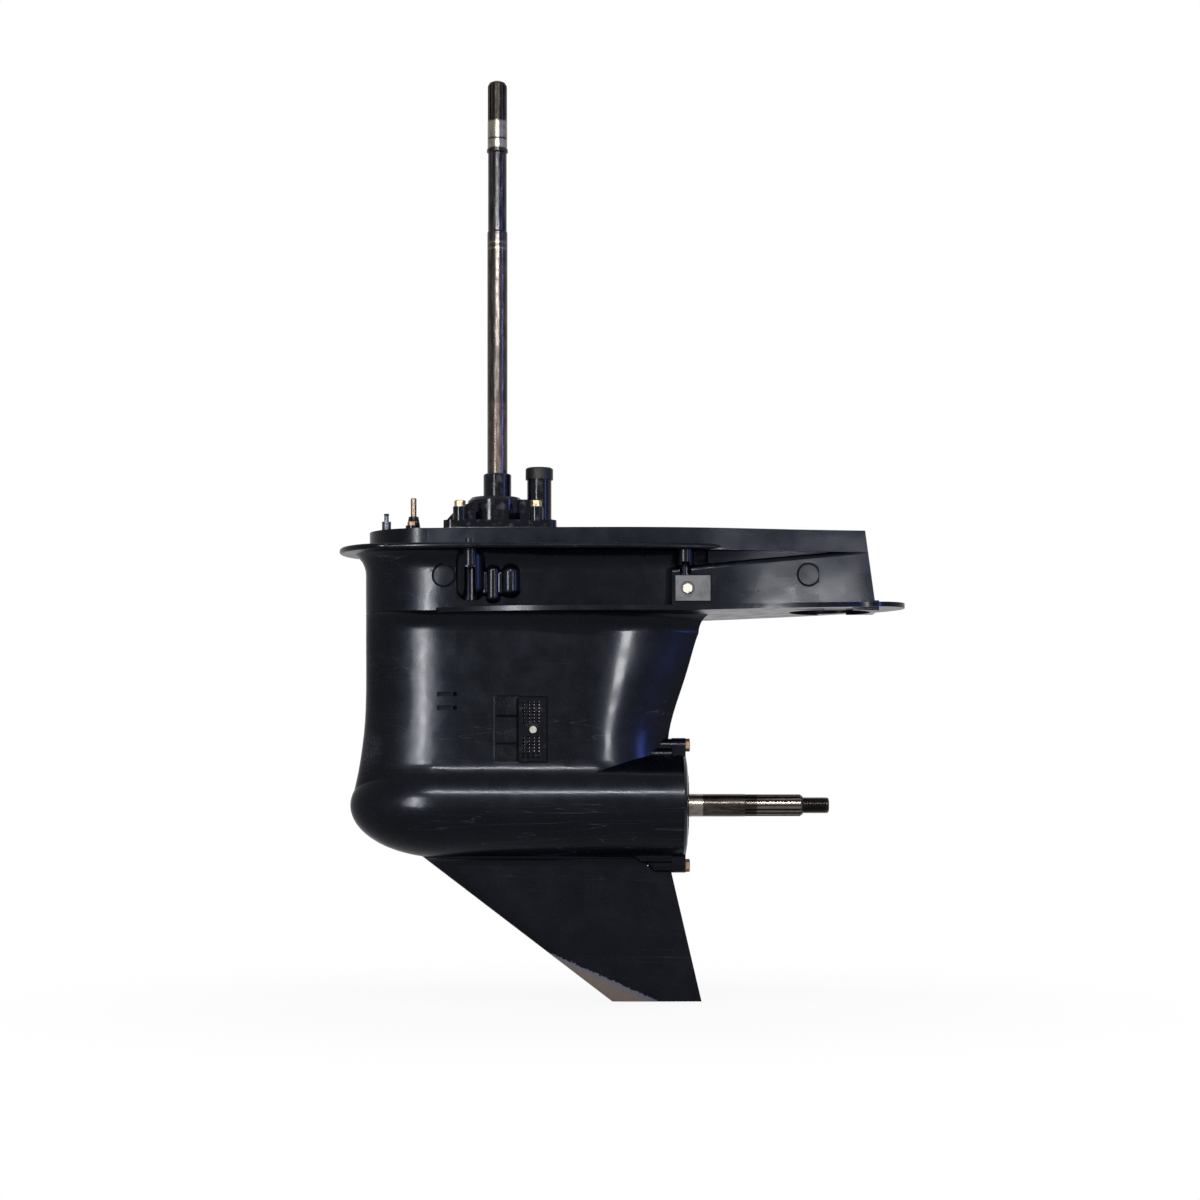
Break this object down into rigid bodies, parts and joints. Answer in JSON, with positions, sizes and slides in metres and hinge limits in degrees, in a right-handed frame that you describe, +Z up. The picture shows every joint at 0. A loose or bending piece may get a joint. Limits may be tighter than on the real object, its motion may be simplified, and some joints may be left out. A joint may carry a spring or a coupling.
{
  "type": "outboard lower unit",
  "caption": "Outboard motor gearcase with drive shaft, water pump, bevel gears, dog clutch, shift rod and splined propeller shaft in a black cast housing with skeg.",
  "frame": {"origin": "where the drive shaft's axis crosses the top mounting face of the deck", "axes": "+X aft along the propeller shaft, +Y starboard, +Z up along the drive shaft"},
  "size_m": [0.649, 0.2002, 1.0576],
  "materials": {
    "gloss_black_paint": "gloss black paint over cast aluminium",
    "black_composite": "satin black moulded composite",
    "shaft_steel": "oil-stained turned steel",
    "gear_steel": "machined gear steel",
    "bearing_steel": "ground bearing steel",
    "stainless_steel": "stainless steel",
    "bronze_bush": "sintered bronze",
    "brass_fastener": "yellow passivated finish",
    "zinc_anode": "dull grey sacrificial alloy",
    "black_rubber": "moulded rubber",
    "gasket_sheet": "fibre gasket sheet"
  },
  "bodies": {
    "gearcase": {"gearcase_housing": "gloss_black_paint", "bearing_carrier": "gloss_black_paint", "carrier_bolts": "stainless_steel", "carrier_o_rings": "black_rubber", "forward_bearing_rollers": "bearing_steel", "forward_bearing_cup": "bearing_steel", "reverse_bearing_rollers": "bearing_steel", "reverse_bearing_cup": "bearing_steel", "driveshaft_bearing_rollers": "bearing_steel", "driveshaft_bearing_cup": "bearing_steel", "pinion_needle_bearing": "bearing_steel", "propshaft_needle_bearing": "bearing_steel", "propshaft_seals": "black_rubber", "driveshaft_seal_housing": "black_composite", "driveshaft_seals": "black_rubber", "pump_gasket": "gasket_sheet", "pump_wear_plate": "stainless_steel", "water_pump_housing": "black_composite", "pump_liner": "stainless_steel", "pump_bolts": "brass_fastener", "pump_washers": "brass_fastener", "water_tube_grommet": "black_rubber", "shift_rod_retainer": "black_composite", "shift_rod_seal": "black_rubber", "retainer_bolt": "brass_fastener", "speedometer_nipple": "brass_fastener", "port_anode": "zinc_anode", "starboard_anode": "zinc_anode", "port_inlet_screen": "black_composite", "starboard_inlet_screen": "black_composite", "anode_bolts": "stainless_steel", "inlet_screen_screw": "stainless_steel", "inlet_screen_nut": "stainless_steel", "gear_oil_drain_screw": "stainless_steel", "gear_oil_level_screw": "stainless_steel", "oil_screw_seals": "black_rubber"},
    "drive_train": {"drive_shaft": "shaft_steel", "pinion_gear": "gear_steel", "pinion_nut": "gear_steel", "impeller": "black_rubber", "impeller_key": "stainless_steel", "driveshaft_bearing_cone": "bearing_steel"},
    "forward_gear_set": {"forward_gear": "gear_steel", "forward_gear_bush": "bronze_bush", "forward_bearing_cone": "bearing_steel"},
    "reverse_gear_set": {"reverse_gear": "gear_steel", "reverse_gear_bush": "bronze_bush", "reverse_bearing_cone": "bearing_steel"},
    "propeller_shaft": {"propeller_shaft": "shaft_steel"},
    "clutch": {"clutch_dog": "gear_steel", "clutch_pin": "gear_steel", "clutch_retaining_spring": "bearing_steel", "shift_plunger": "gear_steel"},
    "shift_rod": {"shift_rod": "stainless_steel"},
    "shift_slider": {"shift_slider": "bronze_bush"}
  },
  "joints": [
    {"name": "drive_shaft_spin", "type": "hinge", "parent": "gearcase", "child": "drive_train", "pos_m": [0, 0, 0], "axis": [0, 0, 1], "continuous": true},
    {"name": "forward_gear_spin", "type": "hinge", "parent": "gearcase", "child": "forward_gear_set", "pos_m": [0, 0, -0.312], "axis": [1, 0, 0], "continuous": true},
    {"name": "reverse_gear_spin", "type": "hinge", "parent": "gearcase", "child": "reverse_gear_set", "pos_m": [0, 0, -0.312], "axis": [1, 0, 0], "continuous": true},
    {"name": "propeller_shaft_spin", "type": "hinge", "parent": "gearcase", "child": "propeller_shaft", "pos_m": [0, 0, -0.312], "axis": [1, 0, 0], "continuous": true},
    {"name": "shift_rod_turn", "type": "hinge", "parent": "gearcase", "child": "shift_rod", "pos_m": [-0.0963, 0, 0], "axis": [0, 0, 1], "range_deg": [-30, 30]},
    {"name": "clutch_slide", "type": "slide", "parent": "propeller_shaft", "child": "clutch", "axis": [1, 0, 0], "range_m": [-0.006, 0.006]},
    {"name": "shift_slider_slide", "type": "slide", "parent": "gearcase", "child": "shift_slider", "axis": [1, 0, 0], "range_m": [-0.006, 0.006]}
  ],
  "couplings": [
    {"joint": "forward_gear_spin", "follows": "drive_shaft_spin", "ratio": 0.5},
    {"joint": "reverse_gear_spin", "follows": "drive_shaft_spin", "ratio": -0.5},
    {"joint": "clutch_slide", "follows": "shift_slider_slide", "ratio": 1},
    {"joint": "shift_rod_turn", "follows": "shift_slider_slide", "rad_per_m": 87.25}
  ]
}
